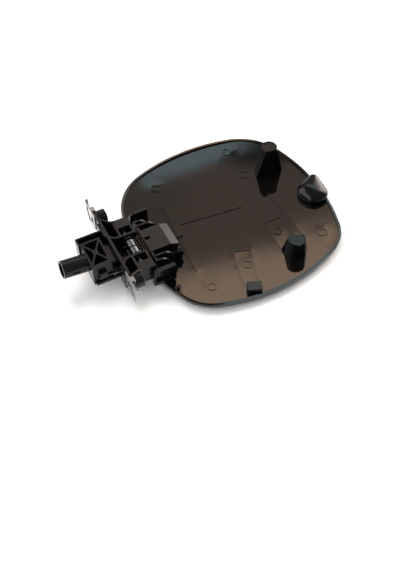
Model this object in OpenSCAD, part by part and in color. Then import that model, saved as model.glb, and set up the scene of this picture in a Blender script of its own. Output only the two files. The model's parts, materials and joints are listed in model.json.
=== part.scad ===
// Car fuel door with its hinge module, lying open on its outer face
// Millimetres, X along the door from the hinge to the free edge, Y across it, Z up

/* [Door panel] */
// Half width of the panel across its flats
panel_half = 94; // [84:0.5:104]
// Radius of the four long sides of the outline
side_r = 170; // [150:1:220]
// Radius of the four corners
corner_r = 54.5; // [48:0.5:60]
// Corner radius of the two fuller near corners
full_corner_r = 40; // [36:0.5:50]
// Turn of the outline against the hinge line
outline_turn = 3; // [0:0.5:5]
// Radius of the crowned outer face
crown_r = 900; // [700:10:1400]
// Thickness of the moulded skin
skin = 2.5; // [2:0.1:3.5]
// Width of the raised lip round the edge
lip_w = 2.2; // [1.6:0.1:3]
// Height of the lip over the table
rim_z = 9.3; // [8.6:0.1:9.5]
// Height of the moulded lines and rings on the inner face
relief_h = 0.6; // [0.3:0.1:0.8]
// Width of those lines
relief_w = 1.1; // [0.7:0.1:1.4]

/* [Cap posts] */
// Position of the upper post, along and across
post_a_at = [62.2, 37];
// Height of the top of the upper post over the table
post_a_top = 37; // [30:0.5:40]
// Half width of the upper post's flat at its foot
post_a_foot = 15; // [11:0.1:16]
// Top radius of the upper post
post_a_head = 7.4; // [6:0.1:9]
// Distance of the upper post's flat from its middle
post_a_flat = 5.4; // [3:0.1:6]
// Position of the lower post, along and across
post_b_at = [34.3, -62.5];
// Height of the top of the lower post over the table
post_b_top = 24; // [18:0.5:28]
// Half width of the lower post's flat at its foot
post_b_foot = 13; // [10:0.1:14]
// Top radius of the lower post
post_b_head = 8; // [6:0.1:9]
// Distance of the lower post's flat from its middle
post_b_flat = 4.2; // [2:0.1:6]

/* [Hinge] */
// Offset of the hinge centre across the panel
hinge_y = -7; // [-10:0.5:0]
// Distance of the pivot outside the panel's edge
pivot_gap = 6; // [4:0.5:10]
// Pivot height over the table
pivot_z = 24; // [22:0.5:26]
// Radius of the hinge pin
pin_r = 2.5; // [2:0.1:3]
// Running clearance round the pin in the arm
pin_play = 0.06; // [0.03:0.01:0.1]
// Half of the bracket's bay between its two pin boxes
bay_half = 11; // [10:0.5:12]
// Half width over both pin boxes
box_half = 31; // [29:0.5:33]
// Height of the pin boxes over the table
box_top = 31; // [29:0.5:31]
// Reach of the pin boxes past the pivot
box_nose = 8; // [6:0.5:8]
// Wall of the pin boxes
wall = 2; // [1.6:0.1:2.5]

/* [Mounting flange] */
// Distance of the flange's back face behind the pivot
flange_gap = 18.5; // [16:0.5:22]
// Thickness of the flange
flange_t = 2.5; // [2:0.1:3]
// Half width of the flange between its ears
flange_half = 33; // [32:0.5:35]
// Height of the flange's upper edge over the table
flange_top = 36; // [34:0.5:38]
// Height of the flange's lower edge over the table
flange_low = 9; // [8:0.5:12]
// Distance between the two screw holes
screw_span = 80; // [78:0.5:84]
// Offset of their middle from the hinge centre
screw_mid = 5; // [4:0.5:6]
// Height of the screw holes over the table
screw_z = 26; // [24:0.5:26]
// Radius of the screw holes
screw_r = 2.75; // [2.7:0.05:3.3]
// Outer radius of the screw bosses
boss_r = 6.5; // [5.5:0.1:7.5]
// Length of the screw bosses
boss_len = 9; // [6:0.5:11]

/* [Housing and spigot] */
// Half width of the ribbed housing
house_half = 14.2; // [13:0.1:16]
// Length of the ribbed housing
house_len = 18; // [14:0.5:20]
// Height of the housing's open top over the table
house_top = 38; // [36:0.5:40]
// Height of the housing's floor over the table
house_low = 14; // [12:0.5:17]
// Outer radius of the spigot
spigot_r = 8.1; // [6.5:0.1:8.5]
// Bore radius of the spigot
spigot_bore_r = 6.6; // [5:0.1:7]
// Length of the spigot outside the housing
spigot_len = 23; // [18:0.5:28]
// Height of the spigot's axis at the housing over the table
spigot_z = 29.5; // [27:0.5:31]
// Upward tilt of the spigot
spigot_tilt = 6; // [0:1:10]

/* [Hidden] */

side_c = side_r - panel_half;
inner_r = crown_r - skin;
hinge_x = -panel_half - pivot_gap;
flange_x = -flange_gap;
flange_front = flange_x + flange_t;
boss_end = flange_front + boss_len;
nut_len = 5.6;
screw_at = [screw_mid - screw_span / 2, screw_mid + screw_span / 2];
house_end = flange_x - 6.5;
house_start = house_end - house_len;
arm_x = box_nose + 3.2;
clip_y = box_half + 1.6;
ring_y = 22.7;

// Middle and radius of the catch's far tip
catch_tip = [panel_half - 1.2, 2];
catch_tip_r = 6;

// Shift that puts the frame's origin under the middle of the whole part
spigot_end_x = hinge_x + house_start - spigot_len * cos(spigot_tilt) - spigot_r * sin(spigot_tilt);
origin_shift = [-(spigot_end_x + catch_tip[0] + catch_tip_r) / 2, 0, 0];

gloss_black = [0.10, 0.09, 0.08];
satin_black = [0.07, 0.07, 0.08];
rubber_black = [0.05, 0.05, 0.05];
zinc = [0.75, 0.78, 0.80];
steel = [0.60, 0.63, 0.68];

// Height of the panel's inner face at a point
function inner_z(x, y) = crown_r - sqrt(inner_r * inner_r - x * x - y * y);

// Flat shape stood up across the door, its first axis along Y, from x on
module yz(x, t) {
    translate([x, 0, 0]) rotate([90, 0, 90]) linear_extrude(height = t) children();
}

// Flat shape stood up along the door, its first axis along X, from y on
module xz(y, t) {
    translate([0, y + t, 0]) rotate([90, 0, 0]) linear_extrude(height = t) children();
}

// Rod along Y
module rod_y(x, y, z, r, h) {
    translate([x, y, z]) rotate([-90, 0, 0]) cylinder(r = r, h = h, $fn = 48);
}

// Rod along X
module rod_x(x, y, z, r, h) {
    translate([x, y, z]) rotate([0, 90, 0]) cylinder(r = r, h = h, $fn = 48);
}

// Block from two corners
module block(a, b) {
    translate(a) cube(b - a);
}

// Everything above the panel's inner face
module above_inner_face() {
    intersection() {
        children();
        translate([0, 0, crown_r]) sphere(r = inner_r, $fn = 240);
    }
}

// Middle of a corner arc with radius r that runs into both long sides
function corner_mid(r) = (sqrt(2 * pow(side_r - r, 2) - side_c * side_c) - side_c) / 2;

// Angle that half a long side covers beside a corner with its middle at k
function side_angle(k) = atan2(k, k + side_c);

// Points of one quarter of the outline, turned by a: half a long side, a corner with radius r, half a long side
function quarter(d, a, r) = let (k = corner_mid(r), side_a = side_angle(k))
    [for (t = [0:6]) turned([(side_r - d) * cos(t * side_a / 6) - side_c, (side_r - d) * sin(t * side_a / 6)], a),
    for (t = [1:13]) turned([k + (r - d) * cos(side_a + t * (90 - 2 * side_a) / 14),
        k + (r - d) * sin(side_a + t * (90 - 2 * side_a) / 14)], a),
    for (t = [6:-1:1]) turned([(side_r - d) * sin(t * side_a / 6), (side_r - d) * cos(t * side_a / 6) - side_c], a)];

function turned(p, a) = [p[0] * cos(a) - p[1] * sin(a), p[0] * sin(a) + p[1] * cos(a)];

// Rounded square outline of tangent arcs, d inside the edge
module panel_outline(d) {
    rotate(outline_turn) polygon([for (q = [0:3]) each quarter(d, 90 * q, q > 1 ? full_corner_r : corner_r)]);
}

// Thin ring of a moulded line
module ring_line(at, r) {
    translate(at) difference() {
        circle(r = r, $fn = 48);
        circle(r = r - relief_w, $fn = 48);
    }
}

// Straight moulded line from a to b
module line(a, b) {
    d = b - a;
    translate(a) rotate(atan2(d[1], d[0])) translate([0, -relief_w / 2]) square([norm(d), relief_w]);
}

// Lines and rings of the inner face
module relief_lines() {
    ring_line([-51, -64], 4.4);
    ring_line([68, -56], 4.4);
    ring_line([-46, 64], 4.4);
    ring_line([37.6, 76], 4.4);
    ring_line([-79.1, -53.9], 4.4);
    ring_line([33.3, -34], 4.4);
    ring_line([39, 43], 4.4);
    ring_line([-10.4, -55.6], 4.4);
    line([48.6, 11.5], [46.6, -42]);
    line([49.6, -11], [50.2, -51]);
    line([-49.6, 39], [-55, -42]);
    line([-43.8, 14.5], [18, 8.7]);
    line([26, -19], [43, -20]);
    line([26, -19], [25, -57]);
    line([-15.2, -36], [-25.2, -74.6]);
    line([-15.2, -36], [0.6, -41.4]);
    line([0.6, -41.4], [-12.4, -77.4]);
    line([43, -20], [43.6, -44]);
}

module door_panel() {
    color(gloss_black) {
        difference() {
            intersection() {
                linear_extrude(height = rim_z) panel_outline(0);
                translate([0, 0, crown_r]) sphere(r = crown_r, $fn = 240);
            }
            difference() {
                intersection() {
                    translate([0, 0, 0.5]) linear_extrude(height = rim_z) panel_outline(lip_w);
                    translate([0, 0, crown_r]) sphere(r = inner_r, $fn = 240);
                }
                difference() {
                    linear_extrude(height = rim_z) relief_lines();
                    translate([0, 0, crown_r]) sphere(r = inner_r - relief_h, $fn = 240);
                }
            }
        }
    }
}

// Place of the hinge module: the pivot over x = 0, heights over the table
module at_hinge() {
    translate([hinge_x, hinge_y, 0]) children();
}

// Foot of a hinge piece on the panel's inner face
module foot(a, b) {
    above_inner_face() at_hinge() block(a, b);
}

// Tapered half round post behind a flat plate, for the filler cap to hang on
module cap_post(at, top, foot, head, flat_at, turn) {
    above_inner_face() translate([at[0], at[1], 0]) rotate(turn) {
        difference() {
            cylinder(r1 = foot - 1.8, r2 = head, h = top, $fn = 64);
            translate([flat_at, -30, -1]) cube([40, 60, top + 2]);
            translate([0, 0, top - 0.5]) cylinder(r = head - 1.3, h = 2, $fn = 64);
        }
        yz(flat_at - 2.6, 2.6) polygon([[-foot, 0], [foot, 0], [head - 1.2, top - 2], [1.2 - head, top - 2]]);
    }
}

module cap_post_upper() {
    color(satin_black) {
        cap_post(post_a_at, post_a_top, post_a_foot, post_a_head, post_a_flat, 265);
        above_inner_face() translate([post_a_at[0], post_a_at[1], 0]) rotate(265) {
            block([post_a_flat - 1, 0, 4], [post_a_flat + 1.4, 6.4, post_a_top - 2.4]);
        }
    }
}

module cap_post_lower() {
    color(satin_black) cap_post(post_b_at, post_b_top, post_b_foot, post_b_head, post_b_flat, 68);
}

// One of the two round lobes of the catch in plan, less by d
module catch_lobe(i, d) {
    translate([panel_half - 9 - 3 * i, -14 + 5.5 * i, 0]) scale([12.8 - 1.1 * i - d, 12.3 - 0.8 * i - d, 1]) children();
}

// Rounded catch over the free edge, which the lock pin grips
module latch_catch() {
    color(satin_black) {
        difference() {
            hull() {
                for (i = [0, 1]) catch_lobe(i, 0) translate([0, 0, 10]) scale([1, 1, 7.4 + 0.8 * i]) sphere(r = 1, $fn = 40);
                translate([catch_tip[0], catch_tip[1], 9.8]) sphere(r = catch_tip_r, $fn = 32);
            }
            translate([panel_half - 44, -50, -2]) cube([80, 80, rim_z + 2.05]);
        }
        above_inner_face() intersection() {
            hull() {
                for (i = [0, 1]) catch_lobe(i, 0.4) translate([0, 0, 4]) cylinder(r = 1, h = rim_z - 3.6, $fn = 40);
            }
            linear_extrude(height = 20) panel_outline(lip_w + 0.3);
        }
    }
}

module rim_buffer() {
    color(rubber_black) above_inner_face() translate([-19.6, -83.4, 0]) rotate(-22) difference() {
        block([-6.5, -5, 5], [6.5, 4, 13]);
        block([-4.5, -6, 6], [4.5, -2.5, 10.5]);
    }
}

module rim_hook() {
    color(satin_black) translate([-78.3, -53.6, inner_z(-79.7, -54.6) + 0.05]) rotate(-50) difference() {
        block([-1.6, -1.7, 0], [1.6, 1.7, 3.6]);
        block([-2.6, 0.5, -1], [2.6, 3, 2.2]);
    }
}

// Side wall of the gooseneck, straight on top and rounded down to its foot
module neck_wall(y, t, x1, r) {
    xz(y, t) {
        translate([arm_x, 8]) square([x1 - arm_x, 19.8]);
        intersection() {
            translate([x1, 27.8 - r]) circle(r = r, $fn = 64);
            translate([x1, 8]) square([r + 1, 30]);
        }
        translate([x1, 8]) square([r, 19.8 - r]);
    }
}

module hinge_arm() {
    color(satin_black) {
        at_hinge() difference() {
            union() {
                for (s = [0, 1]) mirror([0, s, 0]) {
                    rod_y(0, bay_half - 2.4, pivot_z, 5.5, 2.1);
                    block([0, bay_half - 2.4, pivot_z - 4.5], [arm_x + 1, bay_half - 0.3, pivot_z + 1]);
                    xz(9, 2) polygon([[arm_x, 9], [38, 9], [38, 22], [30.3, 25.1], [arm_x, 25.1]]);
                    neck_wall(18.2, 1.6, 19, 12.5);
                    neck_wall(23.4, 1.6, 14, 11);
                    block([arm_x, 13.2, 20], [arm_x + 2, 25, 27]);
                }
                block([4, -9, pivot_z - 4], [arm_x + 1, 9, pivot_z - 2.4]);
                for (x = [4.6, 7, 9.4]) block([x - 0.45, -9, pivot_z - 3], [x + 0.45, 9, pivot_z + 3]);
                block([arm_x, -25, 9.4], [arm_x + 2, 25, 25.1]);
                block([36, -11, 9], [38, 11, 22]);
            }
            rod_y(0, -bay_half - 9, pivot_z, pin_r + pin_play, 2 * bay_half + 18);
        }
        foot([arm_x + 1.4, 0.4 - clip_y, 5], [25, clip_y - 0.4, 9.7]);
        foot([24, -12, 5], [38, 12, 9.7]);
    }
}

module arm_cover() {
    color(satin_black) at_hinge() difference() {
        union() {
            xz(-12.8, 25.6) polygon([[arm_x, 25.4], [arm_x, 27.5], [31, 27.5], [38.7, 24], [38.7, 19.5],
                [38.2, 19.5], [38.2, 22.4], [30.4, 25.4]]);
            block([arm_x + 2.2, 11.2, 18], [31, 12.8, 26]);
            block([arm_x + 2.2, -12.8, 22.5], [31, -11.2, 26]);
        }
        translate([arm_x + 1.4, 0.8, 20]) cube([5, 3.2, 10]);
    }
}

// Tongue that locks the arm on the panel
module arm_lock_tongue() {
    color(satin_black) {
        at_hinge() difference() {
            union() {
                block([25.3, -16, 9.7], [41, -12.3, 16.4]);
                block([38.3, -16, 9.7], [42, -4.5, 12.6]);
            }
            block([27, -20, 12], [35, -13.6, 15]);
            translate([39.4, -14.1, 9]) cylinder(r = 1.1, h = 20, $fn = 32);
        }
        foot([38.3, -13.6, 4], [41.5, -4.5, 10]);
    }
}

module release_peg() {
    color(satin_black) at_hinge() {
        rod_x(38.3, 0, 15, 1.3, 9.7);
        rod_x(38.3, 0, 15, 2.4, 1);
    }
}

// Box shaped clip at the side of the arm, open outwards
module side_clip(x0, x1, t) {
    z1 = 28;
    y1 = clip_y + t;
    difference() {
        union() {
            block([x0, clip_y, 9.9], [x1, y1, z1 - 4]);
            block([x0 + 4, clip_y, 9.9], [x1, y1, z1]);
            rod_y(x0 + 4, clip_y, z1 - 4, 4, t);
        }
        block([x0 + 1.4, clip_y + 1.3, 13.5], [x1 - 1.4, y1 + 4, z1 - 4]);
        block([x0 + 4, clip_y + 1.3, 13.5], [x1 - 1.4, y1 + 4, z1 - 1.4]);
        rod_y(x0 + 4, clip_y + 1.3, z1 - 4, 2.6, 6);
    }
    block([max(x0 + 9, 15), clip_y, 9], [x1, y1, 10]);
}

module side_clip_upper() {
    color(satin_black) {
        at_hinge() side_clip(arm_x + 0.3, 29, 2.6);
        foot([16, clip_y, 4], [29, clip_y + 2.6, 9.3]);
    }
}

module side_clip_lower() {
    color(satin_black) {
        at_hinge() mirror([0, 1, 0]) side_clip(3.5, 24.5, 4);
        foot([15.6, -clip_y - 2.6, 4], [20, -clip_y, 9.3]);
    }
}

// Pin with its head on the upper side and a groove for the ring inside the lower box
module hinge_pin() {
    color(steel) at_hinge() mirror([0, 1, 0]) difference() {
        union() {
            rod_y(0, -box_half - 1.3, pivot_z, 3.4, 1.3);
            rod_y(0, -box_half - 0.5, pivot_z, pin_r, 2 * box_half - 0.4);
        }
        translate([0, ring_y - 0.05, pivot_z]) rotate([-90, 0, 0]) difference() {
            cylinder(r = 4, h = 0.7, $fn = 48);
            translate([0, 0, -1]) cylinder(r = 1.8, h = 3, $fn = 48);
        }
    }
}

// Spring ring in the groove of the pin
module pin_ring() {
    color(steel) at_hinge() mirror([0, 1, 0]) translate([0, ring_y, pivot_z]) rotate([-90, 0, 0]) difference() {
        cylinder(r = 3.6, h = 0.6, $fn = 48);
        translate([0, 0, -1]) cylinder(r = 1.82, h = 3, $fn = 48);
        translate([-1.4, 0, -1]) cube([2.8, 5, 3]);
    }
}

// Two coil packs side by side, with their legs on the bracket's spring seat
module torsion_spring() {
    color(zinc) at_hinge() translate([0, 0, pivot_z]) rotate([-90, 0, 0]) {
        for (s = [-1, 1]) for (i = [0:4])
            translate([0, 0, s * (1.4 + i * 1.4)]) rotate_extrude($fn = 64) translate([3.35, 0]) circle(r = 0.72, $fn = 24);
        for (s = [-1, 1])
            translate([0, 3.35, s * 7]) rotate([0, -90, 0]) cylinder(r = 0.7, h = 6, $fn = 24);
    }
}

// Plain bushes between the pin and the inner walls of the bracket
module pin_bushes() {
    color(steel) at_hinge() for (s = [0, 1]) mirror([0, s, 0]) difference() {
        union() {
            rod_y(0, bay_half, pivot_z, 3.6, wall);
            rod_y(0, bay_half + wall, pivot_z, 4.4, 0.8);
        }
        rod_y(0, 0, pivot_z, pin_r + 0.02, 40);
    }
}

// One of the two boxes that hold the pin, on the upper side
module pin_box() {
    intersection() {
        xz(box_half - wall, 10) polygon([[flange_front, 14], [box_nose, 14], [box_nose, box_top],
            [-4, box_top], [flange_front, flange_top - 0.5]]);
        translate([0, 0, 13]) linear_extrude(height = 30) polygon([[flange_front, box_half + 5], [-8, box_half],
            [box_nose, box_half], [box_nose, box_half - wall], [-8.4, box_half - wall], [flange_front, box_half + 2.6]]);
    }
    block([box_nose - wall, bay_half, 14], [box_nose, box_half, box_top]);
    block([-8, bay_half, 14], [box_nose, bay_half + wall, box_top]);
    block([-7, bay_half, 14], [-5, box_half, box_top]);
    block([-6, 21, 14], [box_nose, 22.5, box_top]);
    block([-6, 21, box_top - wall], [box_nose, box_half, box_top]);
    translate([0, 0, 14]) linear_extrude(height = box_top - 14) intersection() {
        translate([-8, 20]) difference() {
            circle(r = 9, $fn = 64);
            circle(r = 7, $fn = 64);
        }
        translate([flange_front - 0.5, bay_half - 1]) square([9, 10]);
    }
}

module flange_shape() {
    difference() {
        union() {
            translate([-flange_half, flange_low]) square([2 * flange_half, flange_top - flange_low]);
            translate([screw_at[0] - 7, screw_z - 9]) square([screw_span + 14, 18]);
        }
        for (y = screw_at) translate([y, screw_z]) circle(r = 3.6, $fn = 48);
    }
}

module hinge_bracket() {
    color(satin_black) at_hinge() difference() {
        union() {
            yz(flange_x, flange_t) flange_shape();
            for (s = [0, 1]) mirror([0, s, 0]) pin_box();
            for (y = screw_at) rod_x(flange_front, y, screw_z, boss_r, boss_len);
            block([flange_front, box_half - 1, screw_z - 1], [flange_front + 7, screw_at[1] - 5, screw_z + 1]);
            block([flange_front, -box_half, 14], [box_nose, box_half, 15.6]);
            block([flange_x - 1.5, screw_at[0] + 6.6, 12], [flange_x, -19, 33]);
            block([flange_x - 1.5, 24, 12], [flange_x, flange_half, 33]);
            difference() {
                block([-15.2, -10.6, 15], [-6, -3.4, 29]);
                block([-14, -9.4, 16.8], [-7.2, 0, 30]);
            }
        }
        for (y = screw_at) rod_x(flange_x - 3, y, screw_z, 3.6, boss_len + 8);
        for (s = [0, 1]) mirror([0, s, 0]) {
            rod_y(0, bay_half - 1, pivot_z, 3.63, wall + 2);
        }
        rod_y(0, 0.8 - box_half, pivot_z, pin_r + 0.02, 80);
    }
}

// Steel sleeves pressed into the screw bosses
module screw_sleeves() {
    color(zinc) at_hinge() for (y = screw_at) difference() {
        rod_x(flange_x, y, screw_z, 3.6, flange_t + boss_len - nut_len);
        rod_x(flange_x - 1, y, screw_z, screw_r, boss_len + flange_t);
    }
}

// Round nuts pressed into the front ends of the bosses
module captive_nuts() {
    color(zinc) at_hinge() for (y = screw_at) difference() {
        union() {
            rod_x(boss_end - nut_len, y, screw_z, 3.6, nut_len);
            rod_x(boss_end, y, screw_z, 3.9, 0.8);
        }
        rod_x(boss_end - nut_len - 1, y, screw_z, 2.1, nut_len + 3);
    }
}

// Sheet spring clip over an ear, on the upper side, with its screw hole at y
module nut_clip(y) {
    t = 1;
    difference() {
        union() {
            yz(flange_x - t, t) difference() {
                polygon([[y - 2, 14], [y - 6, 18], [y - 6, 36], [y + 16, 36], [y + 15.4, 29], [y + 11, 14]]);
                translate([y, screw_z]) circle(r = 3, $fn = 48);
                translate([y, 0]) children();
            }
            block([flange_x - t, y + 1, 35], [flange_front + 0.8, y + 6, 36]);
            block([flange_front, y + 1, 33], [flange_front + 0.8, y + 6, 36]);
        }
    }
    translate([flange_x + 0.6, y + 15.4, 28.5]) difference() {
        cylinder(r = 1.6, h = 7.5, $fn = 32);
        translate([0, 0, -1]) cylinder(r = 0.8, h = 22, $fn = 32);
    }
}

module nut_clip_upper() {
    color(zinc) at_hinge() nut_clip(screw_at[1]) {
        polygon([[5, 17], [5, 33], [13, 33], [12.4, 28], [9.4, 17]]);
    }
}

module nut_clip_lower() {
    color(zinc) at_hinge() mirror([0, 1, 0]) nut_clip(-screw_at[0]) {
        translate([5, 17.5]) square([2, 14]);
        translate([9.2, 20]) square([2, 11.5]);
    }
}

module spigot_frame() {
    at_hinge() translate([house_start, 0, spigot_z]) rotate([0, spigot_tilt, 0]) rotate([0, -90, 0]) children();
}

module ribbed_housing() {
    mid_x = (house_start + house_end) / 2;
    bay_y = house_half + 8.2;
    color(satin_black) difference() {
        at_hinge() {
            difference() {
                block([house_start, -house_half, house_low], [house_end, house_half, house_top]);
                block([house_start + 1.8, -house_half + 1.8, house_low + 2],
                    [house_end - 1.8, house_half - 1.8, house_top + 1]);
            }
            intersection() {
                block([house_start + 1, -house_half + 1, 22], [house_end - 1, house_half - 1, house_top]);
                translate([mid_x, 0, 0]) for (s = [-1, 1])
                    rotate(s * atan2(2 * house_half, house_len)) block([-30, -0.8, 20], [30, 0.8, house_top]);
            }
            translate([mid_x, 0, 20]) cylinder(r = 2.6, h = house_top - 20, $fn = 40);
            block([house_end - 0.5, -10, house_low + 2], [flange_x, 10, 30]);
            difference() {
                block([house_start - 1.6, house_half - 1, 19], [flange_x, bay_y, 36.5]);
                block([house_start, house_half - 2, 20.6], [flange_x - 1.6, bay_y - 1.6, 40]);
            }
            block([mid_x - 4, -house_half - 3.4, 22], [mid_x + 3, -house_half + 0.5, 29]);
            for (s = [0, 1]) mirror([0, s, 0]) {
                block([house_start + 1.5, house_half - 0.5, house_low], [flange_x, house_half + 2.2, house_low + 3]);
                block([house_start + 4, house_half - 0.5, house_low + 6], [flange_x, house_half + 1.2, house_low + 8.4]);
            }
        }
        spigot_frame() translate([0, 0, -4]) cylinder(r = spigot_r + 0.1, h = 8, $fn = 64);
    }
}

module spigot() {
    color(satin_black) spigot_frame() difference() {
        union() {
            translate([0, 0, -1.2]) cylinder(r = spigot_r, h = spigot_len + 1.2, $fn = 64);
            for (s = [-1, 1]) translate([0, s * (spigot_r - 0.5), spigot_len - 14])
                cylinder(r = 1.6, h = 6, $fn = 32);
        }
        translate([0, 0, -3]) cylinder(r = spigot_bore_r, h = spigot_len + 5, $fn = 64);
    }
}

// Rubber pads between the arm and the bracket
module stop_pads() {
    color(rubber_black) at_hinge() for (s = [0, 1]) mirror([0, s, 0])
        block([box_nose, 14, 16], [box_nose + 1.6, 18, 21]);
}

translate(origin_shift) door_panel();
translate(origin_shift) cap_post_upper();
translate(origin_shift) cap_post_lower();
translate(origin_shift) latch_catch();
translate(origin_shift) rim_buffer();
translate(origin_shift) rim_hook();
translate(origin_shift) hinge_arm();
translate(origin_shift) arm_cover();
translate(origin_shift) arm_lock_tongue();
translate(origin_shift) release_peg();
translate(origin_shift) side_clip_upper();
translate(origin_shift) side_clip_lower();
translate(origin_shift) hinge_pin();
translate(origin_shift) pin_ring();
translate(origin_shift) torsion_spring();
translate(origin_shift) pin_bushes();
translate(origin_shift) hinge_bracket();
translate(origin_shift) screw_sleeves();
translate(origin_shift) nut_clip_upper();
translate(origin_shift) nut_clip_lower();
translate(origin_shift) captive_nuts();
translate(origin_shift) ribbed_housing();
translate(origin_shift) spigot();
translate(origin_shift) stop_pads();
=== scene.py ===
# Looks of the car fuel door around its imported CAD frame
import json
import math

import bpy
from mathutils import Matrix, Vector

MM = 0.001

# Camera, fitted to the panel's outline and the hinge's square edges, in degrees and mm
CAM_AZ = -27.0
CAM_EL = 54.0
CAM_TARGET = (-23.72, -53.6, 0.0)
CAM_DIST = 709.0
CAM_LENS = 50.53
CAM_SENSOR = 36.0

# Materials per slot: name, colour, roughness, metal and specular level
LOOKS = {
    "door_plastic": ("panel_gloss", (0.0028, 0.0026, 0.0024), 0.05, 0.0, 0.5),
    "post_plastic": ("post_black", (0.003, 0.003, 0.0035), 0.16, 0.0, 0.28),
    "hinge_plastic": ("satin_black", (0.006, 0.006, 0.0065), 0.24, 0.0, 0.24),
    "black_rubber": ("dull_black", (0.012, 0.012, 0.012), 0.5, 0.0, 0.4),
    "bright_steel": ("bright_steel", (0.16, 0.17, 0.18), 0.30, 1.0, 0.5),
    "zinc_plate": ("zinc_plate", (0.29, 0.30, 0.308), 0.30, 1.0, 0.5),
}

# Widths of the softened edges, in mm
SOFT_EDGES = {
    "cap_post_upper": 0.5,
    "cap_post_lower": 0.5,
    "hinge_arm": 0.35,
    "arm_cover": 0.35,
    "hinge_bracket": 0.35,
    "ribbed_housing": 0.35,
    "side_clip_upper": 0.35,
    "side_clip_lower": 0.35,
    "arm_lock_tongue": 0.35,
    "rim_buffer": 0.35,
    "door_panel": 0.25,
}
SOFT_ANGLE = 35.0
SOFT_SEGMENTS = 2

# Rounding of the catch: mesh step in mm, share moved per round and rounds
CATCH_VOXEL = 0.8
CATCH_FACTOR = 0.5
CATCH_ROUNDS = 36

# White table under the part
FLOOR_SIZE = 6.0
FLOOR_COLOR = (0.93, 0.93, 0.93)
FLOOR_ROUGH = 0.9
FLOOR_GLOW = 0.06

# Lamps: name, place and aim in m, width in m and power in W
LAMPS = (
    ("window", (-0.05, 0.62, 1.40), (-0.02, 0.0, 0.0), 0.8, 9.0),
    ("soft_sky", (0.0, 0.0, 2.2), (0.0, 0.0, 0.0), 3.0, 17.0),
)

# Light of each area of the room that the glossy panel mirrors
ROOM_BACKDROP = (1.0, 1.0, 1.0)
ROOM_CEILING = (0.24, 0.25, 0.26)
ROOM_WALL = (0.30, 0.31, 0.33)
ROOM_DARK = (0.88, 0.66, 0.55)
ROOM_WARM = (3.65, 2.6, 1.85)
ROOM_PALE = (2.0, 1.9, 1.85)
ROOM_TEAL = (1.60, 2.05, 2.15)
ROOM_SHADE = (0.12, 0.09, 0.08)
ROOM_LEFT = (0.62, 0.52, 0.42)
ROOM_WINDOW = (7.5, 6.8, 6.0)
ROOM_DOOR = (2.6, 2.5, 2.4)

# Level directions towards the room's far side and its right side
ROOM_FAR = (0.508, 0.861, 0.0)
ROOM_RIGHT = (0.891, -0.454, 0.0)

# Where each area of the room starts and where it is full
LEFT_EDGE = (0.045, 0.065)
WARM_EDGE = (0.776, 0.745)
WARM_SIDES = (0.22, 0.12)
PALE_EDGE = (-0.09, -0.03)
SHADE_EDGE = (0.524, 0.510)
TEAL_EDGE = (0.480, 0.471)
WALL_EDGE = (0.66, 0.60)
WINDOW_EDGE = (0.32, 0.47)
DOOR_EDGE = (-0.45, -0.60)
FAR_EDGE = (0.40, 0.50)

# Slants of the edges that are not level
WARM_SLANT = 1.2
SHADE_SLANT = 0.4
TEAL_SLANT = -0.6

# Colour sockets of a mix node
MIX_FIRST = 6
MIX_SECOND = 7
MIX_RESULT = 2


def node_tree(owner):
    owner.use_nodes = True
    return owner.node_tree


def principled(name, color, rough, metal, spec):
    material = bpy.data.materials.new(name)
    shader = node_tree(material).nodes["Principled BSDF"]
    shader.inputs["Base Color"].default_value = (*color, 1.0)
    shader.inputs["Roughness"].default_value = rough
    shader.inputs["Metallic"].default_value = metal
    shader.inputs["Specular IOR Level"].default_value = spec
    return material


def dress(obj, material):
    obj.data.materials.clear()
    obj.data.materials.append(material)


def soften(obj, width):
    bevel = obj.modifiers.new("soft_edges", "BEVEL")
    bevel.width = width * MM
    bevel.segments = SOFT_SEGMENTS
    bevel.limit_method = "ANGLE"
    bevel.angle_limit = math.radians(SOFT_ANGLE)
    bevel.harden_normals = True


def round_over(obj):
    remesh = obj.modifiers.new("even_mesh", "REMESH")
    remesh.mode = "VOXEL"
    remesh.voxel_size = CATCH_VOXEL * MM
    remesh.use_smooth_shade = True
    smooth = obj.modifiers.new("rounded", "SMOOTH")
    smooth.factor = CATCH_FACTOR
    smooth.iterations = CATCH_ROUNDS


def dress_nodes(nodes, record):
    materials = {slot: principled(*look) for slot, look in LOOKS.items()}
    for part in record["subparts"]:
        dress(nodes[part["node"]], materials[part["material_slot"]])
    for name, width in SOFT_EDGES.items():
        soften(nodes[name], width)
    round_over(nodes["latch_catch"])


# Links one socket into another, or sets a number or a colour on it
def feed(tree, socket, value):
    if isinstance(value, bpy.types.NodeSocket):
        tree.links.new(value, socket)
    elif isinstance(value, tuple):
        socket.default_value = (*value, 1.0)
    else:
        socket.default_value = value


def math_node(tree, kind, *values):
    node = tree.nodes.new("ShaderNodeMath")
    node.operation = kind
    for slot, value in enumerate(values):
        feed(tree, node.inputs[slot], value)
    return node.outputs[0]


def dot_with(tree, vector, direction):
    node = tree.nodes.new("ShaderNodeVectorMath")
    node.operation = "DOT_PRODUCT"
    tree.links.new(vector, node.inputs[0])
    node.inputs[1].default_value = direction
    return node.outputs["Value"]


def ramp(tree, value, edge):
    node = tree.nodes.new("ShaderNodeMapRange")
    node.interpolation_type = "SMOOTHSTEP"
    node.inputs["From Min"].default_value = edge[0]
    node.inputs["From Max"].default_value = edge[1]
    tree.links.new(value, node.inputs["Value"])
    return node.outputs["Result"]


def mixed(tree, factor, first, second):
    node = tree.nodes.new("ShaderNodeMix")
    node.data_type = "RGBA"
    tree.links.new(factor, node.inputs["Factor"])
    feed(tree, node.inputs[MIX_FIRST], first)
    feed(tree, node.inputs[MIX_SECOND], second)
    return node.outputs[MIX_RESULT]


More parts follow.
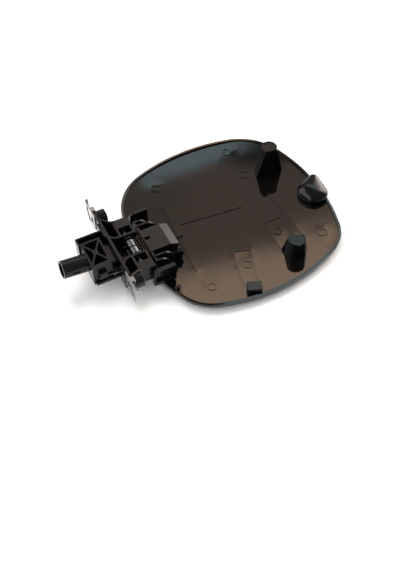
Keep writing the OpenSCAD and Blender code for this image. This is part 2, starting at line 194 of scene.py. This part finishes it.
def build_world():
    world = bpy.data.worlds.new("room")
    bpy.context.scene.world = world
    tree = node_tree(world)
    direction = tree.nodes.new("ShaderNodeTexCoord").outputs["Generated"]
    split = tree.nodes.new("ShaderNodeSeparateXYZ")
    tree.links.new(direction, split.inputs[0])
    depth = split.outputs["Y"]
    height = split.outputs["Z"]
    far = dot_with(tree, direction, ROOM_FAR)
    right = dot_with(tree, direction, ROOM_RIGHT)
    patch = mixed(tree, ramp(tree, right, LEFT_EDGE), ROOM_DARK, ROOM_LEFT)

    # Pale brown light low on the panel, kept to its middle
    slope = math_node(tree, "MULTIPLY_ADD", right, WARM_SLANT, height)
    sides = ramp(tree, math_node(tree, "ABSOLUTE", right), WARM_SIDES)
    warm = math_node(tree, "MULTIPLY", ramp(tree, slope, WARM_EDGE), sides)
    glow = mixed(tree, ramp(tree, right, PALE_EDGE), ROOM_PALE, ROOM_WARM)
    patch = mixed(tree, warm, patch, glow)

    # Dark and bluish areas at the panel's upper left
    shade = math_node(tree, "MULTIPLY_ADD", right, SHADE_SLANT, depth)
    patch = mixed(tree, ramp(tree, shade, SHADE_EDGE), patch, ROOM_SHADE)
    corner = math_node(tree, "MULTIPLY_ADD", right, TEAL_SLANT, depth)
    patch = mixed(tree, ramp(tree, corner, TEAL_EDGE), patch, ROOM_TEAL)

    # Wall below, window at the right, and the rest of the room
    patch = mixed(tree, ramp(tree, height, WALL_EDGE), patch, ROOM_WALL)
    patch = mixed(tree, ramp(tree, right, WINDOW_EDGE), patch, ROOM_WINDOW)
    around = mixed(tree, ramp(tree, right, DOOR_EDGE), ROOM_CEILING, ROOM_DOOR)
    color = mixed(tree, ramp(tree, far, FAR_EDGE), around, patch)

    # The camera itself sees a plain backdrop
    seen = tree.nodes.new("ShaderNodeLightPath").outputs["Is Camera Ray"]
    color = mixed(tree, seen, color, ROOM_BACKDROP)
    shader = tree.nodes["Background"]
    tree.links.new(color, shader.inputs["Color"])
    shader.inputs["Strength"].default_value = 1.0


def build_floor():
    bpy.ops.mesh.primitive_plane_add(size=FLOOR_SIZE, location=(0, 0, 0))
    floor = bpy.context.object
    floor.name = "floor"
    material = principled("white_table", FLOOR_COLOR, FLOOR_ROUGH, 0.0, 0.0)
    shader = material.node_tree.nodes["Principled BSDF"]
    shader.inputs["Emission Color"].default_value = (1.0, 1.0, 1.0, 1.0)
    shader.inputs["Emission Strength"].default_value = FLOOR_GLOW
    dress(floor, material)


def area_light(name, place, aim, size, power):
    data = bpy.data.lights.new(name, "AREA")
    data.shape = "DISK"
    data.size = size
    data.energy = power
    light = bpy.data.objects.new(name, data)
    bpy.context.collection.objects.link(light)
    light.location = place
    light.rotation_euler = (Vector(aim) - Vector(place)).to_track_quat("-Z", "Y").to_euler()
    light.visible_glossy = False


def build_camera():
    az = math.radians(CAM_AZ)
    el = math.radians(CAM_EL)
    back = Vector((math.sin(az) * math.cos(el), -math.cos(az) * math.cos(el), math.sin(el)))
    right = Vector((math.cos(az), math.sin(az), 0.0))
    up = back.cross(right)
    place = (Vector(CAM_TARGET) + back * CAM_DIST) * MM
    data = bpy.data.cameras.new("camera")
    data.lens = CAM_LENS
    data.sensor_width = CAM_SENSOR
    camera = bpy.data.objects.new("camera", data)
    bpy.context.collection.objects.link(camera)
    camera.matrix_world = Matrix((
        (right.x, up.x, back.x, place.x),
        (right.y, up.y, back.y, place.y),
        (right.z, up.z, back.z, place.z),
        (0.0, 0.0, 0.0, 1.0),
    ))
    bpy.context.scene.camera = camera


with open("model.json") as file:
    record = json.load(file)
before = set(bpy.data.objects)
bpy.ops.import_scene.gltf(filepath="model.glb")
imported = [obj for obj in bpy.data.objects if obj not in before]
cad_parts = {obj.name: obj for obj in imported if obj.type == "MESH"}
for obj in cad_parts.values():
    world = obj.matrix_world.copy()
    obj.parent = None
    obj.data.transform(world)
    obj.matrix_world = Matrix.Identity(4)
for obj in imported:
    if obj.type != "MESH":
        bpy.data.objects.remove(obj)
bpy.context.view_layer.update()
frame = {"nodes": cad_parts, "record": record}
bpy.context.scene.view_settings.view_transform = "Standard"
dress_nodes(frame["nodes"], frame["record"])
build_world()
build_floor()
for lamp in LAMPS:
    area_light(*lamp)
build_camera()
